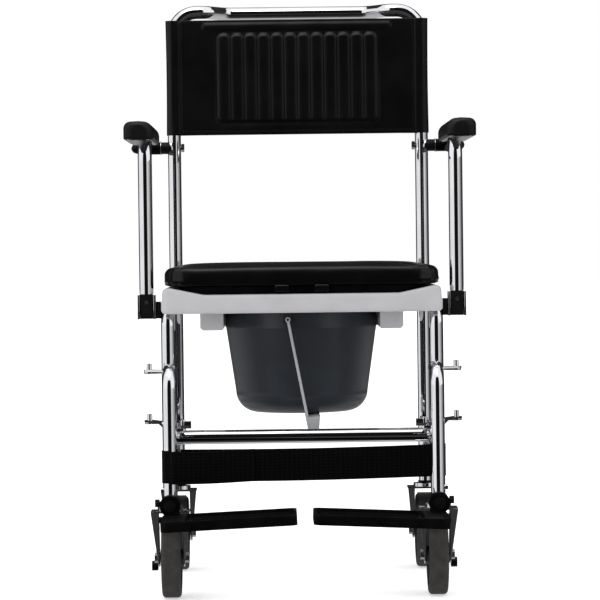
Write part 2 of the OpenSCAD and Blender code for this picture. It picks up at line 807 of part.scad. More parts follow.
module tyre(side, y) {
    shoulder = 6;
    color("gray") at_castor(side, y) translate([0, trail, wheel_r]) rotate([0, 90, 0])
        rotate_extrude() {
            translate([hub_r, -wheel_w / 2]) square([wheel_r - shoulder - hub_r, wheel_w]);
            translate([hub_r, shoulder - wheel_w / 2]) square([wheel_r - hub_r, wheel_w - 2 * shoulder]);
            for (s = [-1, 1]) translate([wheel_r - shoulder, s * (wheel_w / 2 - shoulder)])
                circle(r = shoulder);
        }
}

// Pedal lever outside the fork, with the shoe that presses on the tyre
module brake(side, y) {
    shoe_r = 5;
    shoe_reach = wheel_r + 4 + shoe_r;
    shoe_a = 50;
    shoe = [trail + shoe_reach * cos(shoe_a), wheel_r + shoe_reach * sin(shoe_a)];
    pedal = [trail + 30, 47];
    plate_x = fork_in + fork_plate + 1;
    color("black") at_castor(side, y) {
        translate([plate_x, 0, 0]) rotate([90, 0, 90]) linear_extrude(3) {
            hull() {
                translate(brake_pivot) circle(r = 8, $fn = 32);
                translate(shoe) circle(r = shoe_r, $fn = 32);
            }
            hull() {
                translate(brake_pivot) circle(r = 8, $fn = 32);
                translate(pedal) circle(r = 6, $fn = 32);
            }
        }
        translate([0, shoe[0], shoe[1]]) rod_x(-10, plate_x + over, shoe_r);
        translate([0, pedal[0], pedal[1]]) rod_x(plate_x + over, 32.5, 7.8);
        translate([0, brake_pivot[0], brake_pivot[1]]) rod_x(fork_in, plate_x + over, 3);
    }
}

// ---- Every node -----------------------------------------------------------

back_frame();
side_tubes();
lower_side_rails();
crossbars();
castor_stem_bushes();
backrest_cover();
commode_seat();
pan_rails();
arm_brackets();
arm_spacers();
arm_pivot_bolts();
hanger_lugs();
calf_strap();
calf_strap_loop();
cushion();
cushion_base();
pan();
pan_bail();
arm_tube(1);  // left_arm_tube
arm_pad(1);  // left_arm_pad
arm_hub(1);  // left_arm_hub
arm_foot(1);  // left_arm_foot
arm_button(1);  // left_arm_button
arm_tube(-1);  // right_arm_tube
arm_pad(-1);  // right_arm_pad
arm_hub(-1);  // right_arm_hub
arm_foot(-1);  // right_arm_foot
arm_button(-1);  // right_arm_button
hanger_tube(1);  // left_hanger_tube
hanger_latch(1);  // left_hanger_latch
footrest_stem(1);  // left_footrest_stem
footrest_knuckle(1);  // left_footrest_knuckle
footrest_knob(1);  // left_footrest_knob
footplate(1);  // left_footplate
hanger_tube(-1);  // right_hanger_tube
hanger_latch(-1);  // right_hanger_latch
footrest_stem(-1);  // right_footrest_stem
footrest_knuckle(-1);  // right_footrest_knuckle
footrest_knob(-1);  // right_footrest_knob
footplate(-1);  // right_footplate
fork(1, leg_y);  // front_left_fork
axle(1, leg_y);  // front_left_axle
hub(1, leg_y);  // front_left_hub
tyre(1, leg_y);  // front_left_tyre
brake(1, leg_y);  // front_left_brake
fork(-1, leg_y);  // front_right_fork
axle(-1, leg_y);  // front_right_axle
hub(-1, leg_y);  // front_right_hub
tyre(-1, leg_y);  // front_right_tyre
brake(-1, leg_y);  // front_right_brake
fork(1, post_y);  // rear_left_fork
axle(1, post_y);  // rear_left_axle
hub(1, post_y);  // rear_left_hub
tyre(1, post_y);  // rear_left_tyre
brake(1, post_y);  // rear_left_brake
fork(-1, post_y);  // rear_right_fork
axle(-1, post_y);  // rear_right_axle
hub(-1, post_y);  // rear_right_hub
tyre(-1, post_y);  // rear_right_tyre
brake(-1, post_y);  // rear_right_brake
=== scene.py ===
# %% [markdown]
# # A commode chair
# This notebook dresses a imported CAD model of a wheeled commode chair. The CAD holds every rigid
# piece at its true size, so the work here is finishes, soft parts and light. The chair faces -Y
# and stands on Z = 0, and every length below is in metres.

# %% Load the frame
import json
import math
import bmesh
import bpy
from mathutils import Matrix, Vector, noise


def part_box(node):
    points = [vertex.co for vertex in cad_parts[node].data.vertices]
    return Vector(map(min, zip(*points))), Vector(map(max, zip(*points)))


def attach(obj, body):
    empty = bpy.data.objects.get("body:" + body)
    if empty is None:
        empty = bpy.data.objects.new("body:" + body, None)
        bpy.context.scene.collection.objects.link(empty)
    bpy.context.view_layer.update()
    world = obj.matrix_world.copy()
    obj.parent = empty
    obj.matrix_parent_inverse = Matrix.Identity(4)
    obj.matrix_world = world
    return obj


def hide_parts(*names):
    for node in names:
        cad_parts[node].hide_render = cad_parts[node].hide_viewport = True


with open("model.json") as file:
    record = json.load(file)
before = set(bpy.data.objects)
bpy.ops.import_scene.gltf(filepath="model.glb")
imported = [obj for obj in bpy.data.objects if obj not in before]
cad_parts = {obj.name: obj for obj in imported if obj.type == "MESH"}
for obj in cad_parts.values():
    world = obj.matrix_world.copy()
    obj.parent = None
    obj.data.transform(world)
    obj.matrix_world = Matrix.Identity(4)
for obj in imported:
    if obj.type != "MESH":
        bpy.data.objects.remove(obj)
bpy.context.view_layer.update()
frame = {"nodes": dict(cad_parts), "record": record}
scene = bpy.context.scene
nodes = frame["nodes"]

# %% [markdown]
# ## The camera
# Equipment like this is best shown from far away with a long lens, so that its legs stay
# parallel. The camera stands about 4.6 m in front of the front legs, at seat height, a little to
# the user's right. A long lens also means that the near and far posts keep nearly the same size.

# %% Camera
MM = 0.001
TUBE_R = 11 * MM
tubes_low, tubes_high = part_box("side_tubes")
stem_low, stem_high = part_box("left_footrest_stem")
LEG_Y = tubes_low.y + TUBE_R
POST_Y = LEG_Y + 400 * MM
SIDE_X = tubes_high.x - TUBE_R
HANGER_X = (stem_low.x + stem_high.x) / 2
CAMERA_X = -0.038
CAMERA_GAP = 4.6
CAMERA_HEIGHT = 0.557
LENS = 177.5

cam = bpy.data.cameras.new("camera")
cam.lens = LENS
cam.sensor_width = 36
camera = bpy.data.objects.new("camera", cam)
scene.collection.objects.link(camera)
camera.location = (CAMERA_X, LEG_Y - CAMERA_GAP, CAMERA_HEIGHT)
PITCH, YAW, ROLL = math.radians(-1.146), math.radians(-0.438), math.radians(0.7)
turn = Matrix.Rotation(YAW, 4, "Z") @ Matrix.Rotation(PITCH, 4, "X")
turn = turn @ Matrix.Rotation(ROLL, 4, "Y")
level = Matrix.Rotation(math.pi / 2, 4, "X")
camera.matrix_world = Matrix.Translation(camera.location) @ turn @ level
scene.camera = camera
print("camera at", [round(v, 3) for v in camera.location])

# %% [markdown]
# ## Colours and nodes
# Colours are written as sRGB hex values, the way a paint chart gives them. Blender's shaders work
# in linear light, so one function converts them. A second function adds a shader node, sets its
# inputs and wires its links in one call, which keeps each material short.

# %% Helpers for materials
def hex_colour(text, alpha=1.0):
    """An sRGB hex value as linear RGBA."""
    out = []
    for i in (0, 2, 4):
        c = int(text[i:i + 2], 16) / 255
        out.append(c / 12.92 if c <= 0.04045 else ((c + 0.055) / 1.055) ** 2.4)
    return (*out, alpha)


def add(tree, kind, settings=None, **inputs):
    """A new node of this kind. An input is a value, or an output socket to link from.

    An input is given by its name, or as i0, i1 and so on by its number.
    """
    node = tree.nodes.new(kind)
    for key, value in (settings or {}).items():
        setattr(node, key, value)
    for key, value in inputs.items():
        by_number = key[0] == "i" and key[1:].isdigit()
        socket = node.inputs[int(key[1:]) if by_number else key.replace("_", " ")]
        if isinstance(value, bpy.types.NodeSocket):
            tree.links.new(value, socket)
        else:
            socket.default_value = value
    return node


def new_material(name):
    """An empty material, its node tree, its Principled shader and its object coordinates."""
    material = bpy.data.materials.new(name)
    material.use_nodes = True
    tree = material.node_tree
    shader = tree.nodes["Principled BSDF"]
    coords = add(tree, "ShaderNodeTexCoord").outputs["Object"]
    return material, tree, shader, coords


def wire(tree, source, shader, socket):
    """Links an output to one of the shader's inputs."""
    tree.links.new(source, shader.inputs[socket])


def ramp(tree, fac, stops):
    """A colour ramp through (position, hex) stops."""
    node = add(tree, "ShaderNodeValToRGB", Fac=fac)
    elements = node.color_ramp.elements
    while len(elements) < len(stops):
        elements.new(0.5)
    for element, (place, colour) in zip(elements, stops):
        element.position = place
        element.color = hex_colour(colour)
    return node.outputs["Color"]


def between(tree, value, low, high):
    """Maps 0..1 to low..high."""
    node = add(tree, "ShaderNodeMapRange", Value=value, To_Min=low, To_Max=high)
    return node.outputs["Result"]


def bump(tree, shader, height, distance, strength):
    """Fine relief for a shader, from a height between 0 and 1 and its depth in metres."""
    node = add(tree, "ShaderNodeBump", Height=height, Distance=distance, Strength=strength)
    wire(tree, node.outputs["Normal"], shader, "Normal")

# %% [markdown]
# ## Chromed steel
# The frame is steel tube, polished and then plated with nickel and a thin film of chromium.
# It is almost a perfect mirror, slightly blue-grey, so what the eye sees is the room: long
# white and black stripes along each tube. The material therefore stays simple, with only faint
# polishing lines and a few dull smears, and the light does the rest.

# %% Chromium plate
def chromium_plate(name, tint, roughness):
    material, tree, shader, coords = new_material(name)
    shader.inputs["Metallic"].default_value = 1.0
    smear = add(tree, "ShaderNodeTexNoise", Vector=coords, Scale=1 / (60 * MM), Detail=4.0)
    fine = add(tree, "ShaderNodeTexNoise", Vector=coords, Scale=1 / (2.5 * MM), Detail=1.0)
    colour = ramp(tree, smear.outputs["Fac"], [(0.3, tint[0]), (0.7, tint[1])])
    wire(tree, colour, shader, "Base Color")
    wire(tree, between(tree, smear.outputs["Fac"], *roughness), shader, "Roughness")
    bump(tree, shader, fine.outputs["Fac"], 0.01 * MM, 0.02)
    return material


chrome_tube = chromium_plate("chromium_plate_on_tube", ("DFE0E3", "EDEDF0"), (0.02, 0.05))
chrome_pressed = chromium_plate("chromium_plate_on_pressed_steel",
                                ("C8C9CC", "DCDCDF"), (0.06, 0.14))
zinc = chromium_plate("zinc_plated_steel", ("A7A9AA", "C2C3C2"), (0.22, 0.38))
print("metals made")

# %% [markdown]
# ## Moulded plastics
# The black fittings are injection-moulded nylon with a fine spark-eroded texture, the seat is
# blow-moulded polyethylene with a slight waxy gloss, and the pan is polypropylene. All of them
# are dielectrics, so they differ mainly in colour, roughness and the grain of the mould. One
# function makes them, and its grain is a real size in millimetres. The gloss is kept low on the
# black ones, whose worn mould texture scatters most of what a smooth face would mirror.

# %% Moulded plastic
def moulded_plastic(name, dark, light, roughness, grain_mm=0.8, depth_mm=0.03, gloss=0.12):
    material, tree, shader, coords = new_material(name)
    blotch = add(tree, "ShaderNodeTexNoise", Vector=coords, Scale=1 / (45 * MM), Detail=3.0)
    grain = add(tree, "ShaderNodeTexNoise", Vector=coords, Scale=1 / (grain_mm * MM), Detail=3.0)
    colour = ramp(tree, blotch.outputs["Fac"], [(0.3, dark), (0.7, light)])
    wire(tree, colour, shader, "Base Color")
    wire(tree, between(tree, blotch.outputs["Fac"], *roughness), shader, "Roughness")
    bump(tree, shader, grain.outputs["Fac"], depth_mm * MM, 0.5)
    shader.inputs["IOR"].default_value = 1.49
    shader.inputs["Specular IOR Level"].default_value = gloss
    return material


nylon = moulded_plastic("moulded_black_nylon", "08090A", "101011", (0.36, 0.50))
foot_plastic = moulded_plastic("moulded_black_polypropylene", "040404", "080808", (0.42, 0.58),
                               1.2, 0.06, gloss=0.06)
lever_plastic = moulded_plastic("moulded_brake_nylon", "050505", "0C0C0D", (0.40, 0.52))
hub_plastic = moulded_plastic("moulded_grey_nylon", "2B2B2C", "373738", (0.40, 0.52))
seat_plastic = moulded_plastic("blow_moulded_polyethylene", "A4A3A5", "ABAAAC", (0.34, 0.44),
                               2.5, 0.03, gloss=0.25)
rail_plastic = moulded_plastic("extruded_pale_abs", "ABABAE", "B5B5B8", (0.24, 0.34),
                               3.0, 0.02, gloss=0.4)
pan_plastic = moulded_plastic("moulded_slate_polypropylene", "24272C", "282C32", (0.27, 0.31),
                              1.5, 0.004, gloss=0.5)
bail_plastic = moulded_plastic("moulded_pale_polypropylene", "9C9D9E", "A8A9AA", (0.32, 0.44))
board_plastic = moulded_plastic("black_hardboard", "030303", "080808", (0.55, 0.70),
                                1.6, 0.08, gloss=0.05)
print("plastics made")

# %% [markdown]
# ## Rubber
# The tyres are solid grey rubber, cured in a two-part mould. Rubber is matt, a little lighter
# where dust has worked into it, and has a parting line that the tyre's own mesh is too coarse
# to show. A soft noise in the colour and a fine grain in the bump are enough at this distance.

# %% Tyre rubber
def tyre_rubber(name):
    material, tree, shader, coords = new_material(name)
    dust = add(tree, "ShaderNodeTexNoise", Vector=coords, Scale=1 / (14 * MM), Detail=6.0,
               Roughness=0.65)
    grain = add(tree, "ShaderNodeTexNoise", Vector=coords, Scale=1 / (0.7 * MM), Detail=2.0)
    colour = ramp(tree, dust.outputs["Fac"], [(0.35, "302F2E"), (0.7, "3E3C3A")])
    wire(tree, colour, shader, "Base Color")
    wire(tree, between(tree, dust.outputs["Fac"], 0.50, 0.75), shader, "Roughness")
    bump(tree, shader, grain.outputs["Fac"], 0.05 * MM, 0.5)
    shader.inputs["Specular IOR Level"].default_value = 0.2
    return material


rubber = tyre_rubber("cured_grey_rubber")
print("rubber made")

# %% [markdown]
# ## Vinyl, polyurethane skin and webbing
# The sling and the cushion are covered in PVC-coated cloth, embossed with a leather grain of
# cells about 1.1 mm wide. Voronoi distance gives that grain: round cells with creases between.
# The arm pads are self-skinned polyurethane foam, whose skin has a much finer grain. The strap is
# woven nylon webbing: ribs across it about 1.6 mm apart, drawn a little coarser than real ones.

# %% Coated cloth and skins
def grained_vinyl(name, dark, light, roughness, cell_mm, depth_mm, gloss):
    material, tree, shader, coords = new_material(name)
    warp = add(tree, "ShaderNodeTexNoise", Vector=coords, Scale=1 / (5 * MM), Detail=2.0)
    shift = add(tree, "ShaderNodeVectorMath", {"operation": "SCALE"},
                i0=warp.outputs["Color"], Scale=cell_mm * MM)
    place = add(tree, "ShaderNodeVectorMath", {"operation": "ADD"},
                i0=coords, i1=shift.outputs["Vector"])
    cells = add(tree, "ShaderNodeTexVoronoi", {"feature": "SMOOTH_F1"},
                Vector=place.outputs["Vector"], Scale=1 / (cell_mm * MM), Smoothness=0.3)
    wear = add(tree, "ShaderNodeTexNoise", Vector=coords, Scale=1 / (55 * MM), Detail=4.0)
    colour = ramp(tree, wear.outputs["Fac"], [(0.3, dark), (0.72, light)])
    wire(tree, colour, shader, "Base Color")
    wire(tree, between(tree, wear.outputs["Fac"], *roughness), shader, "Roughness")
    bump(tree, shader, cells.outputs["Distance"], -depth_mm * MM, 0.6)
    shader.inputs["IOR"].default_value = 1.5
    shader.inputs["Specular IOR Level"].default_value = gloss
    return material


def woven_webbing(name):
    material, tree, shader, coords = new_material(name)
    ribs = add(tree, "ShaderNodeTexWave", {"bands_direction": "Z"}, Vector=coords,
               Scale=2 / (1.6 * MM) / 20, Distortion=1.2, Detail=2.0, Detail_Scale=3.0)
    yarn = add(tree, "ShaderNodeTexWave", {"bands_direction": "X"}, Vector=coords,
               Scale=2 / (2.4 * MM) / 20, Distortion=1.2, Detail=2.0, Detail_Scale=3.0)
    weave = add(tree, "ShaderNodeMath", {"operation": "MULTIPLY"},
                i0=ribs.outputs["Fac"], i1=yarn.outputs["Fac"])
    # The colour follows the weave's height and is darker in its low parts: painted shade in the
    # hollows between the ribs.
    colour = ramp(tree, weave.outputs["Value"], [(0.1, "030303"), (0.9, "0A0A0A")])
    wire(tree, colour, shader, "Base Color")
    bump(tree, shader, weave.outputs["Value"], 0.3 * MM, 0.7)
    shader.inputs["Roughness"].default_value = 0.82
    shader.inputs["Sheen Weight"].default_value = 0.02
    shader.inputs["Specular IOR Level"].default_value = 0.05
    return material


back_vinyl = grained_vinyl("embossed_black_pvc", "050505", "0A0A0A", (0.28, 0.38),
                           1.1, 0.10, 0.22)
cushion_vinyl = grained_vinyl("embossed_black_pvc_cushion", "030303", "060606", (0.26, 0.36),
                              1.1, 0.10, 0.25)
pad_skin = grained_vinyl("self_skinned_polyurethane", "090909", "0F0F10", (0.40, 0.50),
                         0.6, 0.05, 0.18)
webbing = woven_webbing("woven_nylon_webbing")
thread = moulded_plastic("twisted_polyester_thread", "202021", "2C2C2D", (0.6, 0.75), 0.4, 0.05)
print("coated cloth and skins made")

# %% [markdown]
# ## Finishes onto the CAD pieces
# Each CAD node names the finish it was designed with. A table turns that name into one of the
# materials above, and every node gets its own, so that nothing is left in plain grey.

# %% Give every CAD node its material
FINISH = {
    "chromed_tube": chrome_tube, "chromed_plate": chrome_pressed, "zinc_bolt": zinc,
    "button_steel": zinc, "black_nylon": nylon, "backrest_vinyl": back_vinyl,
    "cushion_vinyl": cushion_vinyl,
    "base_board": board_plastic, "seat_plastic": seat_plastic, "rail_plastic": rail_plastic,
    "pan_plastic": pan_plastic, "bail_plastic": bail_plastic, "strap_webbing": webbing,
    "pad_foam": pad_skin, "footplate_plastic": foot_plastic, "hub_plastic": hub_plastic,
    "tyre_rubber": rubber, "brake_plastic": lever_plastic,
}
slot_of = {part["node"]: part["material_slot"] for part in frame["record"]["subparts"]}
bodies = frame["record"]["behaviour"]["bodies"]
body_of = {node: body for body, group in bodies.items() for node in group}
for name, node in nodes.items():
    node.data.materials.clear()
    node.data.materials.append(FINISH[slot_of[name]])
print(len(nodes), "nodes finished")

# %% [markdown]
# ## Helpers for meshes
# Soft pieces are made as grids of points that close on themselves, then smoothed. These helpers
# turn points and faces into an object, and hand it to the body it moves with.

# %% Mesh helpers
def make_piece(name, points, faces, material, body, smooth=True):
    """A mesh object from points and faces, riding on a body."""
    mesh = bpy.data.meshes.new(name)
    mesh.from_pydata([tuple(p) for p in points], [], faces)
    mesh.validate()
    shape = bmesh.new()
    shape.from_mesh(mesh)
    bmesh.ops.recalc_face_normals(shape, faces=shape.faces)
    shape.to_mesh(mesh)
    shape.free()
    mesh.polygons.foreach_set("use_smooth", [smooth] * len(mesh.polygons))
    mesh.materials.append(material)
    piece = bpy.data.objects.new(name, mesh)
    scene.collection.objects.link(piece)
    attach(piece, body)
    return piece


def apply_modifiers(piece):
    """Bakes a piece's modifiers into its mesh."""
    bpy.context.view_layer.update()
    ready = piece.evaluated_get(bpy.context.evaluated_depsgraph_get())
    mesh = bpy.data.meshes.new_from_object(ready)
    piece.modifiers.clear()
    piece.data = mesh
    return piece


def tube_of_rings(rings):
    """Points and faces of a closed skin through a row of rings with the same number of points."""
    count = len(rings[0])
    points = [p for ring in rings for p in ring]
    faces = []
    for i in range(len(rings) - 1):
        for j in range(count):
            k = (j + 1) % count
            faces.append((i * count + j, i * count + k, (i + 1) * count + k, (i + 1) * count + j))
    faces.append(tuple(reversed(range(count))))
    faces.append(tuple(range((len(rings) - 1) * count, len(rings) * count)))
    return points, faces


def ease(t):
    """0 below 0, 1 above 1, and a smooth rise between."""
    t = min(max(t, 0.0), 1.0)
    return t * t * (3 - 2 * t)


def groove(distance, width):
    """A rounded groove: 1 at its middle, 0 outside its width."""
    return max(0.0, 1 - (distance / (width / 2)) ** 2)


STITCH = 4.6 * MM


def stitches(name, path, body):
    """A row of thread stitches along a path of (point, outward direction)."""
    lengths = [0.0]
    for (a, _), (b, _) in zip(path, path[1:]):
        lengths.append(lengths[-1] + (b - a).length)
    points, faces = [], []
    radius, length, sides = 0.45 * MM, 0.68 * STITCH, 5
    for n in range(int(lengths[-1] / STITCH)):
        target = (n + 0.5) * STITCH
        i = max(k for k in range(len(lengths)) if lengths[k] <= target)
        i = min(i, len(path) - 2)
        a, b = path[i][0], path[i + 1][0]
        along = (b - a).normalized()
        middle = a + along * (target - lengths[i])
        out = path[i][1]
        side = along.cross(out)
        rings = []
        for step, swell in ((-0.5, 0.35), (-0.3, 1), (0.3, 1), (0.5, 0.35)):
            lift = 0.3 if abs(step) < 0.4 else -0.6
            centre = middle + along * (step * length) + out * radius * lift
            rings.append([centre + (side * math.cos(t) + out * math.sin(t)) * radius * swell
                          for t in (2 * math.pi * s / sides for s in range(sides))])
        ring_points, ring_faces = tube_of_rings(rings)
        base = len(points)
        points += ring_points
        faces += [tuple(base + v for v in face) for face in ring_faces]
    return make_piece(name, points, faces, thread, body)

# %% [markdown]
# ## The sling backrest
# The back is two layers of vinyl cloth, sewn into a sleeve on each side that slides down over
# the rear posts. A panel in the middle is quilted into upright channels over thin foam, each
# ending in a small arch. It is made as a closed skin: a loop round both sleeves, repeated at
# many heights, whose front is pushed out or in by a height map of channels, hems and wrinkles.

# %% Backrest height map
back_low, back_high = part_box("backrest_cover")
SLEEVE_R = 12.7 * MM
POST_X = SIDE_X
SLEEVE_BLEND = 46 * MM
CHANNEL = 22.4 * MM
PANEL_HALF = 6 * CHANNEL
PANEL_LOW, PANEL_HIGH = back_low.z + 20 * MM, back_high.z - 21 * MM
BAND_LOW, BAND_HIGH = back_high.z - 19 * MM, back_high.z - 4 * MM
BAND_HALF = 162 * MM
HEM_Z = back_low.z + 6 * MM
TOP_HEM_Z = back_high.z - 2 * MM
SLEEVE_SEAM_X = 197 * MM


def rounded_distance(x, z, half_w, low, high, radius):
    """How far a point lies outside a rounded rectangle."""
    mid, half_h = (low + high) / 2, (high - low) / 2
    dx, dz = abs(x) - half_w + radius, abs(z - mid) - half_h + radius
    return math.hypot(max(dx, 0), max(dz, 0)) + min(max(dx, dz), 0) - radius


def back_height(x, z):
    """How far the front of the backrest stands out at a place, in metres."""
    edge = rounded_distance(x, z, PANEL_HALF, PANEL_LOW, PANEL_HIGH, 12 * MM)
    height = 0.0
    if edge < 0:
        across = 2 * ((x / CHANNEL) % 1) - 1
        arch = math.sqrt(max(0.0, 1 - across * across))
        below_arch = PANEL_HIGH - 6 * MM * (1 - arch) - z
        ends = ease(below_arch / (8 * MM)) * ease((z - PANEL_LOW) / (5 * MM))
        height += 3.4 * MM * arch ** 0.75 * ends
    height -= 0.9 * MM * groove(edge - 1.5 * MM, 5 * MM)
    up_band = min(max((z - BAND_LOW) / (BAND_HIGH - BAND_LOW), 0), 1)
    band = ease((BAND_HALF - abs(x)) / (8 * MM)) * math.sin(math.pi * up_band)
    height += 2.6 * MM * band
    for hem in (HEM_Z, TOP_HEM_Z):
        height -= 0.6 * MM * groove(z - hem, 3 * MM)
    height -= 1.0 * MM * groove(abs(x) - SLEEVE_SEAM_X, 5 * MM)
    outside = ease(edge / (12 * MM))
    fold = noise.noise(Vector((x * 9 + z * 5, 3.1, z * 7 - x * 4)))
    ripple = noise.noise(Vector((x * 30, 7.7, z * 11)))
    return height + outside * (1.6 * fold + 0.7 * ripple) * MM + 0.5 * MM * ripple


# %% Backrest mesh
def on_front(x, z):
    """A place on the backrest's front."""
    lean = ease((POST_X - abs(x)) / SLEEVE_BLEND)
    return Vector((x, POST_Y - SLEEVE_R + 1.7 * MM * lean - back_height(x, z), z))


def back_ring(z, columns=260, rear=46, turns=22):
    """The loop round both sleeves at one height, starting at the front left seam."""
    inner = POST_X - SLEEVE_R * 0.2
    waist = 0.8 * MM * math.sin((z - back_low.z) / (back_high.z - back_low.z) * math.pi)
    ring = [on_front(-inner + 2 * inner * i / columns, z) for i in range(columns + 1)]
    for side in (1, -1):
        if side < 0:
            for i in range(rear + 1):
                x = inner - 2 * inner * i / rear
                lean = ease((POST_X - abs(x)) / SLEEVE_BLEND)
                slack = 1.3 * MM * noise.noise(Vector((x * 14, 5.5, z * 9))) * lean
                ring.append(Vector((x, POST_Y + SLEEVE_R - 9 * MM * lean + slack, z)))
        for i in range(1, turns):
            t = math.pi * i / turns
            radius = SLEEVE_R - (waist if abs(t - math.pi / 2) < 1 else 0)
            start = -math.pi / 2 if side > 0 else math.pi / 2
            x = side * POST_X + radius * math.cos(start + t)
            ring.append(Vector((x, POST_Y + radius * math.sin(start + t), z)))
    return ring


BACK_ROWS = 98
heights = [back_low.z + (back_high.z - back_low.z) * j / BACK_ROWS for j in range(BACK_ROWS + 1)]
back_points, back_faces = tube_of_rings([back_ring(z) for z in heights])
backrest = make_piece("quilted_backrest", back_points, back_faces, back_vinyl,
                      "root")
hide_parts("backrest_cover")


FORWARD = Vector((0, -1, 0))
hem_path = [(on_front(x * MM, HEM_Z), FORWARD) for x in range(-195, 196, 3)]
stitches("backrest_hem_stitching", hem_path, "root")
seam_path = [(on_front(x * MM, PANEL_LOW - 1.5 * MM), FORWARD) for x in range(-128, 129, 3)]
stitches("backrest_panel_stitching", seam_path, "root")
print("backrest", len(back_points), "points")

# %% [markdown]
# ## The cushion
# The seat cushion is a block of foam in a vinyl cover, sewn round a stiff base. Real ones crown
# a little on top and pull in at the corners. Cloth simulation gives that for free: a slightly
# small closed skin is blown up with a little pressure, with its base held still, and stopped
# before it grows past a few millimetres. Seams are cut in afterwards, because remeshing erases
# anything narrower than a voxel.

# %% Cushion block
cushion_low, cushion_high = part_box("cushion")
CUSHION_MID_Y = (cushion_low.y + cushion_high.y) / 2
CUSHION_HALF_L = (cushion_high.y - cushion_low.y) / 2


def rounded_outline(x, y, half_w, half_l, radius, z, steps):
    """A level rectangle with rounded corners round the point (x, y)."""
    ring = []
    for cx, cy, start in ((1, 1, 0), (-1, 1, 90), (-1, -1, 180), (1, -1, 270)):
        for step in range(steps + 1):
            t = math.radians(start + 90 * step / steps)
            ring.append(Vector((x + cx * (half_w - radius) + radius * math.cos(t),
                                y + cy * (half_l - radius) + radius * math.sin(t), z)))
    return ring


def cushion_block():
    """A rounded block a little smaller than the cushion."""
    shrink, corner, edge = 0.5 * MM, 42 * MM, 9 * MM
    low, high = cushion_low.z + 1 * MM, cushion_high.z - 6.5 * MM
    half_w, half_l = cushion_high.x - shrink, CUSHION_HALF_L - shrink
    levels = [(low, edge * 0.35), (low + edge * 0.35, 0), (high - edge, 0)]
    levels += [(high - edge + edge * math.sin(t), edge - edge * math.cos(t))
               for t in (0.35, 0.7, 1.05, 1.35)]
    levels += [(high, edge + 20 * MM), (high, edge + 60 * MM), (high, edge + 110 * MM)]
    return tube_of_rings([rounded_outline(0, CUSHION_MID_Y, half_w - inset, half_l - inset,
                                          max(corner - inset, 12 * MM), z, 12)
                          for z, inset in levels])


block_points, block_faces = cushion_block()
cushion = make_piece("padded_cushion", block_points, block_faces, cushion_vinyl,
                     "cushion")
remesh = cushion.modifiers.new("remesh", "REMESH")
remesh.mode = "VOXEL"
remesh.voxel_size = 6 * MM
remesh.use_smooth_shade = True
apply_modifiers(cushion)
print("cushion skin", len(cushion.data.vertices), "points")


# %% Blow it up
def inflate(piece, pressure, limit, held_below):
    """Cloth pressure on a closed skin. Points below a height stay, the others move up to limit."""
    start = [v.co.copy() for v in piece.data.vertices]
    held = piece.vertex_groups.new(name="held")
    held.add([v.index for v in piece.data.vertices if v.co.z < held_below], 1.0, "REPLACE")
    cloth = piece.modifiers.new("cloth", "CLOTH")
    cloth.settings.vertex_group_mass = "held"
    cloth.settings.use_pressure = True
    cloth.settings.uniform_pressure_force = pressure
    cloth.settings.effector_weights.gravity = 0
    cloth.settings.quality = 4
    cloth.settings.mass = 0.3
    cloth.collision_settings.use_collision = False
    for number in range(1, 21):
        scene.frame_set(number)
    apply_modifiers(piece)
    scene.frame_set(1)
    for vertex, before in zip(piece.data.vertices, start):
        move = vertex.co - before
        if move.length > limit:
            vertex.co = before + move.normalized() * limit
    piece.vertex_groups.clear()


inflate(cushion, 4.0, 2.5 * MM, cushion_low.z + 5 * MM)


# %% Crown, corner gathers and the seam round the base
def finish_cushion(piece):
    """Crowns the top, gathers the corners and cuts the seam above the base."""
    fine = piece.modifiers.new("fine", "SUBSURF")
    fine.levels = 1
    apply_modifiers(piece)
    for vertex in piece.data.vertices:
        p = vertex.co
        u, v = p.x / cushion_high.x, (p.y - CUSHION_MID_Y) / CUSHION_HALF_L
        rise = ease((p.z - cushion_low.z - 8 * MM) / (20 * MM))
        crown = (1 - u ** 4) * (1 - v ** 4)
        dimple = noise.noise(Vector((p.x * 9, p.y * 9, 1.7)))
        p.z += rise * (3.0 * MM * crown + 0.8 * MM * dimple)
        corner = ease((abs(u) - 0.72) / 0.28) * ease((abs(v) - 0.72) / 0.28)
        side = max(abs(u), abs(v)) > 0.93
        gather = math.sin(math.atan2(abs(v) - 0.8, abs(u) - 0.8) * 16) if corner > 0 else 0
        flat = Vector((p.x, p.y - CUSHION_MID_Y, 0)).normalized()
        pucker = noise.noise(Vector((p.x * 26, p.y * 26, p.z * 18)))
        push = 0.7 * corner * gather + (1.2 * pucker if side else 0)
        push -= 2.2 * groove(p.z - cushion_low.z - 5.5 * MM, 4 * MM)
        if p.z < cushion_high.z - 6 * MM:
            p += flat * push * MM
        p.z = max(p.z, cushion_low.z + 0.3 * MM)
        p.x = min(max(p.x, -cushion_high.x - 6 * MM), cushion_high.x + 6 * MM)
    piece.data.polygons.foreach_set("use_smooth", [True] * len(piece.data.polygons))


finish_cushion(cushion)
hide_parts("cushion")

# %% [markdown]
# Two short loops of the cover's own vinyl hang at the front of the base, to pull the cushion off
# by. Each is a small flattened tube, thicker at its fold.

# %% Pull loops
TAB_X, TAB_HALF_W = 31 * MM, 11 * MM
for label, x in (("left", TAB_X), ("right", -TAB_X)):
    rings = []
    for step in range(9):
        t = step / 8
        y = cushion_low.y + (2.0 + 7.0 * t) * MM
        z = cushion_low.z + (2 - 11 * math.sin(math.pi * t)) * MM
        rings.append([Vector((x + TAB_HALF_W * math.cos(a), y + 1.2 * MM * math.sin(a), z))
                      for a in (2 * math.pi * k / 16 for k in range(16))])
    loop_points, loop_faces = tube_of_rings(rings)
    make_piece(label + "_pull_loop", loop_points, loop_faces, cushion_vinyl,
               "cushion")
print("cushion", len(cushion.data.vertices), "points")

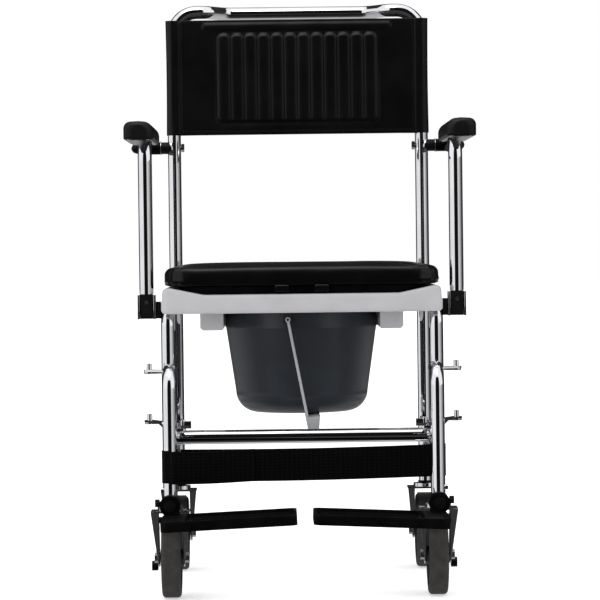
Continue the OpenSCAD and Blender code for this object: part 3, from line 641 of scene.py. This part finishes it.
# %% [markdown]
# ## Arm pads
# Each pad is self-skinned polyurethane moulded over a steel plate, which shows as a thin pale
# edge underneath. The top is broad and soft, rounder on the inner side. The pad is lofted from
# cross-sections along its length, which shrink round a quarter circle at both ends.

# %% Arm pads
PAD_INNER_R, PAD_OUTER_R, PAD_END_R = 17 * MM, 11 * MM, 15 * MM


def pad_ring(low, high, y, outer):
    """One cross-section of a pad. outer is 1 where +X is the outer side."""
    into_end = max(0.0, PAD_END_R - min(y - low.y, high.y - y))
    tuck = PAD_END_R - math.sqrt(max(0.0, PAD_END_R ** 2 - into_end ** 2))
    left, right = low.x + tuck, high.x - tuck
    top = high.z - 0.45 * tuck
    ring = [Vector((left, y, low.z)), Vector((left, y, low.z + 3 * MM))]
    radii = (PAD_INNER_R, PAD_OUTER_R) if outer > 0 else (PAD_OUTER_R, PAD_INNER_R)
    radii = [min(r, (right - left) / 2 - 1 * MM) for r in radii]
    for k in range(11):
        t = math.pi - math.pi / 2 * k / 10
        ring.append(Vector((left + radii[0] + radii[0] * math.cos(t), y,
                            top - radii[0] + radii[0] * math.sin(t))))
    middle = (left + right) / 2
    ring.append(Vector((middle, y, top + 0.6 * MM)))
    for k in range(11):
        t = math.pi / 2 - math.pi / 2 * k / 10
        ring.append(Vector((right - radii[1] + radii[1] * math.cos(t), y,
                            top - radii[1] + radii[1] * math.sin(t))))
    ring += [Vector((right, y, low.z + 3 * MM)), Vector((right, y, low.z))]
    ring += [Vector((right - 3 * MM, y, low.z - 1 * MM)),
             Vector((left + 3 * MM, y, low.z - 1 * MM))]
    return ring


for side, outer in (("left", 1), ("right", -1)):
    low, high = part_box(side + "_arm_pad")
    ends = [PAD_END_R * (1 - math.cos(math.pi / 2 * k / 7)) for k in range(8)]
    stations = [low.y + e for e in ends]
    middle_length = high.y - low.y - 2 * PAD_END_R
    stations += [low.y + PAD_END_R + middle_length * k / 24 for k in range(1, 24)]
    stations += [high.y - e for e in reversed(ends)]
    pad_points, pad_faces = tube_of_rings([pad_ring(low, high, y, outer) for y in stations])
    pad = make_piece(side + "_soft_pad", pad_points, pad_faces, pad_skin,
                     side + "_arm")
    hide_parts(side + "_arm_pad")
    middle, half = (low + high) / 2, (high - low) / 2
    plate_rings = [rounded_outline(middle.x, middle.y, half.x - inset * MM,
                                   half.y - (inset + 4) * MM, 9 * MM, low.z - down * MM, 6)
                   for down, inset in ((2.4, 4.5), (2.0, 4), (0.6, 4), (0.2, 4.5))]
    plate_points, plate_faces = tube_of_rings(plate_rings)
    make_piece(side + "_pad_plate", plate_points, plate_faces, zinc,
               side + "_arm", smooth=False)
print("pads made")

# %% [markdown]
# ## Cap nuts
# The bolt that each arm turns on ends in a black plastic cap, pressed over the nut. A cap like
# this is turned, so its shape is one half-section spun round the bolt.

# %% Cap nuts
BOLT_END_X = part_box("arm_pivot_bolts")[1].x
ARM_PIVOT_Z = 716 * MM
CAP_SECTION = [(-17.2, 6.6), (-17.2, 8.3), (-16.4, 9.0), (-11, 9.0), (-7.5, 8.6), (-4, 7.2),
               (-1.6, 4.9), (-0.3, 2.2), (0.1, 0.4)]
for side, outer in (("left", 1), ("right", -1)):
    rings = [[Vector((outer * (BOLT_END_X + (out + 0.2) * MM), POST_Y + r * MM * math.cos(t),
                      ARM_PIVOT_Z + r * MM * math.sin(t)))
              for t in (2 * math.pi * k / 40 for k in range(40))] for out, r in CAP_SECTION]
    cap_points, cap_faces = tube_of_rings(rings)
    make_piece(side + "_pivot_cap", cap_points, cap_faces, nylon, "root")
print("cap nuts made")

# %% [markdown]
# ## The calf strap
# One length of 50 mm webbing passes round the left leg, crosses behind the calves and loops
# round the right hanger, where it closes on itself with hook-and-loop. It peels apart there when
# the hanger swings away, so the two parts ride on different bodies. Flat webbing is too thin
# for a cloth simulation, so it is built as a ribbon along its route, with a slight sag.

# %% Webbing
STRAP_T = 1.9 * MM
STRAP_SECTION = [(0, 0.35), (0.02, 1), (0.06, 1), (0.08, 0.75), (0.10, 1), (0.3, 1), (0.5, 1),
                 (0.7, 1), (0.9, 1), (0.92, 0.75), (0.94, 1), (0.98, 1), (1, 0.35)]


def ribbon(name, route, low, high, body):
    """A flat strap on edge along a route of (x, y) points, with a soft edge and a little sag."""
    rings = []
    lengths = [0.0]
    for a, b in zip(route, route[1:]):
        lengths.append(lengths[-1] + (b - a).length)
    for i, p in enumerate(route):
        before, after = route[max(i - 1, 0)], route[min(i + 1, len(route) - 1)]
        along = (after - before).normalized()
        out = Vector((along.y, -along.x, 0))
        s = lengths[i] / lengths[-1]
        sag = -2.2 * MM * math.sin(math.pi * min(max((s - 0.15) / 0.85, 0), 1))
        wave = 0.8 * MM * noise.noise(Vector((p.x * 18, p.y * 18, 2.0)))
        front, back = [], []
        for h, w in STRAP_SECTION:
            belly = wave * math.sin(math.pi * h)
            up = Vector((0, 0, low + sag + (high - low) * h))
            front.append(p + out * (STRAP_T / 2 * w + belly) + up)
            back.append(p + out * (-STRAP_T / 2 * w + belly) + up)
        rings.append(front + back[::-1])
    points, faces = tube_of_rings(rings)
    piece = make_piece(name, points, faces, webbing, body)
    return piece, lengths[-1]


def around(centre, radius, start, end, steps):
    """Points on an arc between two angles in degrees."""
    return [centre + Vector((radius * math.cos(t), radius * math.sin(t), 0))
            for t in (math.radians(start + (end - start) * k / steps) for k in range(steps + 1))]


strap_low, strap_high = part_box("calf_strap")
leg = Vector((SIDE_X, LEG_Y, 0))
wrap_r = TUBE_R + STRAP_T / 2 + 0.1 * MM
strap_end = Vector((-190 * MM, LEG_Y - 61 * MM, 0))
slope = math.degrees(math.atan2(48, 401.5))
turns = around(leg, wrap_r, 255, -90 - slope, 56)
straight = [turns[-1].lerp(strap_end, k / 60) for k in range(1, 61)]
strap, strap_length = ribbon("webbing_strap", turns + straight, strap_low.z, strap_high.z, "root")
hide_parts("calf_strap")

loop_low, loop_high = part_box("calf_strap_loop")
hanger = Vector((-HANGER_X, LEG_Y - 66 * MM, 0))
TAIL_TURN = 11.5
TAIL_LENGTH = 129 * MM
ring_route = around(hanger, wrap_r, 268, -90 + TAIL_TURN, 40)
tail_way = Vector((math.cos(math.radians(TAIL_TURN)), math.sin(math.radians(TAIL_TURN)), 0))
tail = [ring_route[-1] + tail_way * (TAIL_LENGTH * k / 24) for k in range(1, 25)]
loop, loop_length = ribbon("webbing_loop", ring_route + tail, loop_low.z, loop_high.z,
                           "right_hanger")
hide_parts("calf_strap_loop")
print("strap", round(strap_length, 3), "m and loop", round(loop_length, 3), "m")

# %% [markdown]
# ## Soft edges on moulded and pressed pieces
# No moulded or pressed piece has a knife edge: moulds and press tools leave a radius of half a
# millimetre or more, and that radius is what catches the light. The CAD leaves edges sharp so
# that it stays exact. Here each such node is copied, its flat faces are joined up and a bevel of
# a real radius is cut along its edges, and the copy then stands for the node. A brake lever also
# gets a hair more room beside the washer that it swings past.

# %% Bevelled copies
LEVER_INNER_X = SIDE_X + 22 * MM
WASHER_GAP = 0.4 * MM


def clear_the_washer(lever):
    """Moves the inner face of a brake lever outwards, clear of the axle's washer."""
    for vertex in lever.data.vertices:
        if -0.1 * MM < abs(vertex.co.x) - LEVER_INNER_X < 0.9 * MM:
            vertex.co.x += math.copysign(WASHER_GAP, vertex.co.x)


def softened(name, radius_mm):
    """A bevelled copy of a CAD node that stands for it."""
    mesh = nodes[name].data.copy()
    piece = bpy.data.objects.new(name + "_soft", mesh)
    scene.collection.objects.link(piece)
    shape = bmesh.new()
    shape.from_mesh(mesh)
    bmesh.ops.remove_doubles(shape, verts=shape.verts, dist=0.002 * MM)
    bmesh.ops.dissolve_limit(shape, angle_limit=math.radians(0.6),
                             verts=shape.verts, edges=shape.edges)
    shape.to_mesh(mesh)
    shape.free()
    bevel = piece.modifiers.new("bevel", "BEVEL")
    bevel.width = radius_mm * MM
    bevel.segments = 2
    bevel.limit_method = "ANGLE"
    bevel.angle_limit = math.radians(38)
    bevel.use_clamp_overlap = True
    apply_modifiers(piece)
    if name.endswith("brake"):
        clear_the_washer(piece)
    piece.data.polygons.foreach_set("use_smooth", [True] * len(piece.data.polygons))
    piece.data.set_sharp_from_angle(angle=math.radians(42))
    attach(piece, body_of[name])
    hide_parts(name)
    return piece


EDGE_RADIUS_MM = {
    "arm_brackets": 0.7, "arm_spacers": 0.6, "hanger_lugs": 0.5, "pan_rails": 1.0,
    "cushion_base": 2.5, "castor_stem_bushes": 0.6, "pan_bail": 0.8, "arm_foot": 0.9,
    "arm_hub": 0.8, "hanger_latch": 0.4, "footrest_knuckle": 1.2, "footrest_knob": 0.5,
    "footplate": 1.3, "fork": 0.5, "hub": 0.9, "brake": 0.8,
}
softened_count = 0
for name in sorted(nodes):
    for ending, radius_mm in EDGE_RADIUS_MM.items():
        if name.endswith(ending):
            softened(name, radius_mm)
            softened_count += 1
print(softened_count, "pieces with soft edges")

# %% [markdown]
# ## The commode seat
# The seat is blow-moulded: a hollow shell whose every edge is a wide, even radius, because the
# plastic is stretched into the mould like a balloon. Bevels can't run cleanly round so many
# notches, so the copy is remeshed into small even squares and smoothed, which rounds everything.

# %% Rounded seat
seat_mesh = nodes["commode_seat"].data.copy()
seat = bpy.data.objects.new("moulded_seat", seat_mesh)
scene.collection.objects.link(seat)
voxels = seat.modifiers.new("voxels", "REMESH")
voxels.mode = "VOXEL"
voxels.voxel_size = 2.6 * MM
rounding = seat.modifiers.new("rounding", "SMOOTH")
rounding.factor = 0.5
rounding.iterations = 9
apply_modifiers(seat)
seat.data.polygons.foreach_set("use_smooth", [True] * len(seat.data.polygons))
seat.data.materials.clear()
seat.data.materials.append(seat_plastic)
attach(seat, "root")
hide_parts("commode_seat")
print("seat", len(seat.data.vertices), "points")

# %% [markdown]
# ## Ribs on the footplates
# A footplate is a ribbed moulding: low bars across its tray stop a shoe from sliding, slanted
# ribs stiffen its front edge, and a small round ejector mark sits near the tip. Each rib is a
# short bar with sloping sides, laid on the tilted plate by one function that knows the tilt.

# %% Footplate ribs
FOOT_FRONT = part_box("left_footplate")[0].y
HINGE_X, HINGE_Z, TILT = HANGER_X, 155 * MM, math.radians(2.5)


def on_footplate(side, inward, y, up):
    """A point given from the footplate's own hinge: inward along the plate, and up from it."""
    x = -inward * math.cos(TILT) + up * math.sin(TILT)
    z = inward * math.sin(TILT) + up * math.cos(TILT)
    return Vector((side * (HINGE_X + x), y, HINGE_Z + z))


def add_ridge(points, faces, start, end, out, width, height):
    """A bar with sloping sides and ends from start to end, standing out of a surface."""
    along = (end - start).normalized()
    side = along.cross(out).normalized() * width / 2
    base = len(points)
    for place, step in ((start, 1), (end, -1)):
        top = place + along * step * height * 0.8
        points += [place - side - out * 0.4 * MM, place + side - out * 0.4 * MM,
                   top + side * 0.55 + out * height, top - side * 0.55 + out * height]
    for quad in ((0, 1, 2, 3), (7, 6, 5, 4), (0, 4, 5, 1),
                 (1, 5, 6, 2), (2, 6, 7, 3), (3, 7, 4, 0)):
        faces.append(tuple(base + v for v in quad))


TRAY_FLOOR, PLATE_BOTTOM = -20 * MM, -29 * MM
SLANTED_RIBS = [(30, 5), (42, -5), (60, 5), (70, -5), (88, 3), (95, 3), (142, 3), (174, 3)]
MARK_R_MM = 4.6
for label, side in (("left", 1), ("right", -1)):
    points, faces = [], []
    tray_up = (on_footplate(side, 0, 0, 1) - on_footplate(side, 0, 0, 0)).normalized()
    for k in range(9):
        y = FOOT_FRONT + (11 + 13.2 * k) * MM
        add_ridge(points, faces, on_footplate(side, 34 * MM, y, TRAY_FLOOR),
                  on_footplate(side, 184 * MM, y, TRAY_FLOOR), tray_up, 3.4 * MM, 1.4 * MM)
    for inward, lean in SLANTED_RIBS:
        low = on_footplate(side, inward * MM, FOOT_FRONT, PLATE_BOTTOM + 1 * MM)
        high = on_footplate(side, (inward + lean) * MM, FOOT_FRONT, PLATE_BOTTOM + 9.5 * MM)
        add_ridge(points, faces, low, high, FORWARD, 2.6 * MM, 1.3 * MM)
    for up in (2.2, 12.2):
        add_ridge(points, faces,
                  on_footplate(side, 24 * MM, FOOT_FRONT, PLATE_BOTTOM + up * MM),
                  on_footplate(side, 182 * MM, FOOT_FRONT, PLATE_BOTTOM + up * MM),
                  FORWARD, 1.6 * MM, 0.7 * MM)
    ring = [on_footplate(side, (184 + MARK_R_MM * math.cos(t)) * MM, FOOT_FRONT + 0.5 * MM,
                         (-21.5 + MARK_R_MM * math.sin(t)) * MM)
            for t in (2 * math.pi * k / 20 for k in range(20))]
    for a, b in zip(ring, ring[1:] + ring[:1]):
        add_ridge(points, faces, a, b, FORWARD, 1.2 * MM, 1.0 * MM)
    make_piece(label + "_footplate_ribs", points, faces, foot_plastic,
               label + "_footplate", smooth=False)
print("footplate ribs made")

# %% [markdown]
# ## Floor and studio
# Chrome looks like whatever surrounds it. In a studio, a bright tube stands between two tall
# white panels, with a gap between them at the camera: each tube then shows a dark line down its
# middle and a white band on each side. The same room is painted here into the world: its
# brightness depends only on the compass direction and the height, so it can't slide about as the
# view turns. The camera itself sees plain white, and so does matt plastic, for soft even light.

# %% Floor
bpy.ops.mesh.primitive_plane_add(size=60, location=(0, 0, 0))
floor = bpy.context.object
floor.name = "studio_floor"
floor_paint, floor_tree, floor_shader, floor_coords = new_material("matt_white_paint")
speckle = add(floor_tree, "ShaderNodeTexNoise", Vector=floor_coords, Scale=30.0, Detail=2.0)
floor_colour = ramp(floor_tree, speckle.outputs["Fac"], [(0.3, "F3F3F3"), (0.7, "F7F7F7")])
wire(floor_tree, floor_colour, floor_shader, "Base Color")
floor_shader.inputs["Roughness"].default_value = 0.9
floor_shader.inputs["Emission Color"].default_value = hex_colour("FFFFFF")
floor_shader.inputs["Emission Strength"].default_value = 0.45
floor.data.materials.append(floor_paint)
floor.visible_glossy = False

# %% Studio room
world = bpy.data.worlds.new("studio")
scene.world = world
world.use_nodes = True
sky = world.node_tree
sky.nodes.clear()


def grey_ramp(tree, fac, stops):
    """A ramp of plain grey levels through (position, level) stops."""
    node = add(tree, "ShaderNodeValToRGB", Fac=fac)
    elements = node.color_ramp.elements
    while len(elements) < len(stops):
        elements.new(0.5)
    for element, (place, level) in zip(elements, stops):
        element.position = place
        element.color = (level, level, level, 1)
    return node.outputs["Color"]


towards = add(sky, "ShaderNodeTexCoord").outputs["Generated"]
direction = add(sky, "ShaderNodeSeparateXYZ", i0=towards)
to_front = add(sky, "ShaderNodeMath", {"operation": "MULTIPLY"}, i0=direction.outputs["Y"], i1=-1.0)
compass = add(sky, "ShaderNodeMath", {"operation": "ARCTAN2"},
              i0=direction.outputs["X"], i1=to_front.outputs["Value"])
turned = add(sky, "ShaderNodeMath", {"operation": "MULTIPLY_ADD"}, i0=compass.outputs["Value"],
             i1=1 / (2 * math.pi), i2=0.5)


def at(degrees):
    """Where a compass direction lies on the ramp: 0 is the front, positive to the right."""
    return (degrees + 180) / 360


panels = grey_ramp(sky, turned.outputs["Value"], [
    (0.0, 0.03), (at(-122), 0.03), (at(-108), 0.95), (at(-33), 0.95), (at(-27), 0.006),
    (at(27), 0.006), (at(34), 0.80), (at(53), 0.66), (at(73), 0.42), (at(94), 0.12),
    (at(106), 0.03), (1.0, 0.03)])
front_and_back = grey_ramp(sky, turned.outputs["Value"], [
    (0.0, 1.0), (at(-122), 1.0), (at(-108), 0.0), (at(-40), 0.0), (at(-27), 1.0),
    (at(27), 1.0), (at(40), 0.0), (at(94), 0.0), (at(106), 1.0), (1.0, 1.0)])
below = grey_ramp(sky, turned.outputs["Value"], [
    (0.0, 0.55), (at(-120), 0.5), (at(-80), 0.05), (at(80), 0.05), (at(120), 0.5), (1.0, 0.55)])

# %% Ceiling, floor and who sees the room
height = direction.outputs["Z"]
raised = add(sky, "ShaderNodeMath", {"operation": "MULTIPLY_ADD"},
             i0=front_and_back, i1=-0.60, i2=height)
over = add(sky, "ShaderNodeMapRange", {"interpolation_type": "SMOOTHSTEP"},
           Value=raised.outputs["Value"], From_Min=0.10, From_Max=0.17)
under = add(sky, "ShaderNodeMapRange", {"interpolation_type": "SMOOTHSTEP"},
            Value=height, From_Min=-0.10, From_Max=-0.16)
walls = add(sky, "ShaderNodeMix", {"data_type": "RGBA"},
            i0=over.outputs["Result"], i6=panels, i7=(1.05, 1.05, 1.07, 1))
room = add(sky, "ShaderNodeMix", {"data_type": "RGBA"},
           i0=under.outputs["Result"], i6=walls.outputs[2], i7=below)
reflected = add(sky, "ShaderNodeBackground", Color=room.outputs[2], Strength=1.0)
plain = add(sky, "ShaderNodeBackground", Color=(1, 1, 1, 1), Strength=1.0)
path = add(sky, "ShaderNodeLightPath")
seen = add(sky, "ShaderNodeMixShader", i0=path.outputs["Is Glossy Ray"],
           i1=plain.outputs["Background"], i2=reflected.outputs["Background"])
add(sky, "ShaderNodeOutputWorld", Surface=seen.outputs["Shader"])


# %% Lamps
def softbox(name, place, aim, size, power):
    """A rectangular lamp that points at aim, of power watts."""
    lamp = bpy.data.lights.new(name, "AREA")
    lamp.shape = "RECTANGLE"
    lamp.size, lamp.size_y = size
    lamp.energy = power
    holder = bpy.data.objects.new(name, lamp)
    scene.collection.objects.link(holder)
    holder.location = place
    holder.rotation_euler = (Vector(aim) - Vector(place)).to_track_quat("-Z", "Y").to_euler()
    holder.visible_camera = False
    return holder


softbox("overhead_softbox", (-0.4, -0.6, 2.9), (0, 0, 0.6), (1.8, 1.4), 22)
softbox("left_softbox", (-2.3, -1.9, 1.3), (0, 0, 0.55), (0.8, 1.8), 10).visible_glossy = False
scene.view_settings.view_transform = "Standard"
scene.cycles.max_bounces = 8
print("studio ready")
